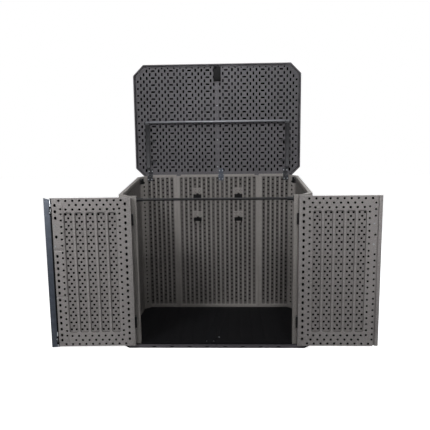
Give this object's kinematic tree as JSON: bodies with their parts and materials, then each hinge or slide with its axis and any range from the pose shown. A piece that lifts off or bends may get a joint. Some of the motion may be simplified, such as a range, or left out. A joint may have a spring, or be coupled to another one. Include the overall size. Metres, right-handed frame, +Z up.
{
  "type": "horizontal storage shed",
  "caption": "Low resin storage shed with a top-opening lid and a pair of front doors, shown open; ribbed double-skin walls on a two-piece floor.",
  "frame": {"origin": "centre of the floor's footprint, on the underside of the plate that joins the two halves of the floor", "axes": "+X to the right as seen from the front, +Y to the rear wall, +Z up"},
  "size_m": [2.453, 1.0537, 2.255],
  "materials": {
    "wall_resin": "moulded, fine leather grain",
    "door_resin": "moulded, fine leather grain",
    "lid_resin": "moulded, fine leather grain",
    "floor_resin": "moulded, satin",
    "black_resin": "moulded, satin",
    "black_steel": "powder coat, satin",
    "blue_steel": "powder coat, satin",
    "gunmetal": "powder coat, satin",
    "zinc_steel": "zinc plated"
  },
  "bodies": {
    "shed": {"floor_left": "floor_resin", "floor_right": "floor_resin", "floor_joiner": "gunmetal", "floor_screws": "zinc_steel", "corner_bracket_left": "black_steel", "corner_bracket_right": "black_steel", "corner_screws": "zinc_steel", "side_wall_left": "wall_resin", "side_wall_right": "wall_resin", "front_post_left": "wall_resin", "front_post_right": "wall_resin", "rear_corner_left": "wall_resin", "rear_corner_right": "wall_resin", "rear_wall": "wall_resin", "header_tube": "black_steel", "header_socket_left": "black_steel", "header_socket_right": "black_steel", "hook_upper_left": "black_resin", "hook_upper_right": "black_resin", "hook_lower_left": "black_resin", "hook_lower_right": "black_resin", "lid_bracket_left": "blue_steel", "lid_bracket_centre": "blue_steel", "lid_bracket_right": "blue_steel", "lid_hinge_pins": "zinc_steel", "bracket_bolts": "zinc_steel", "post_leaf_upper_left": "black_steel", "post_leaf_lower_left": "black_steel", "post_leaf_upper_right": "black_steel", "post_leaf_lower_right": "black_steel", "door_pins_left": "zinc_steel", "door_pins_right": "zinc_steel"},
    "lid": {"lid_left": "lid_resin", "lid_right": "lid_resin", "lid_seam_strip": "lid_resin", "lid_screws": "zinc_steel", "lid_strike": "black_resin", "lid_cross_tube": "gunmetal", "lid_arm_left": "gunmetal", "lid_arm_right": "gunmetal", "lid_arm_clips": "gunmetal", "lid_leaf_left": "blue_steel", "lid_leaf_centre": "blue_steel", "lid_leaf_right": "blue_steel"},
    "left_door": {"door_left": "door_resin", "astragal": "blue_steel", "handle_left": "black_resin", "handle_screws_left": "zinc_steel", "door_leaf_upper_left": "black_steel", "door_leaf_lower_left": "black_steel", "bolt_case_upper": "black_resin", "bolt_case_lower": "black_resin"},
    "right_door": {"door_right": "door_resin", "handle_right": "black_resin", "handle_screws_right": "zinc_steel", "door_leaf_upper_right": "black_steel", "door_leaf_lower_right": "black_steel"},
    "upper_bolt": {"door_bolt_upper": "zinc_steel"},
    "lower_bolt": {"door_bolt_lower": "zinc_steel"}
  },
  "joints": [
    {"name": "lid_hinge", "type": "hinge", "parent": "shed", "child": "lid", "pos_m": [0, 0.4725, 1.27745], "axis": [1, 0, 0], "range_deg": [0, 97.2]},
    {"name": "left_door_hinge", "type": "hinge", "parent": "shed", "child": "left_door", "pos_m": [-0.6025, -0.4865, 0.6], "axis": [0, 0, 1], "range_deg": [0, 177.8]},
    {"name": "right_door_hinge", "type": "hinge", "parent": "shed", "child": "right_door", "pos_m": [0.6025, -0.4865, 0.6], "axis": [0, 0, -1], "range_deg": [0, 179.6]},
    {"name": "upper_bolt_slide", "type": "slide", "parent": "left_door", "child": "upper_bolt", "axis": [0, 0, 1], "range_m": [0, 0.02]},
    {"name": "lower_bolt_slide", "type": "slide", "parent": "left_door", "child": "lower_bolt", "axis": [0, 0, -1], "range_m": [0, 0.02]}
  ]
}
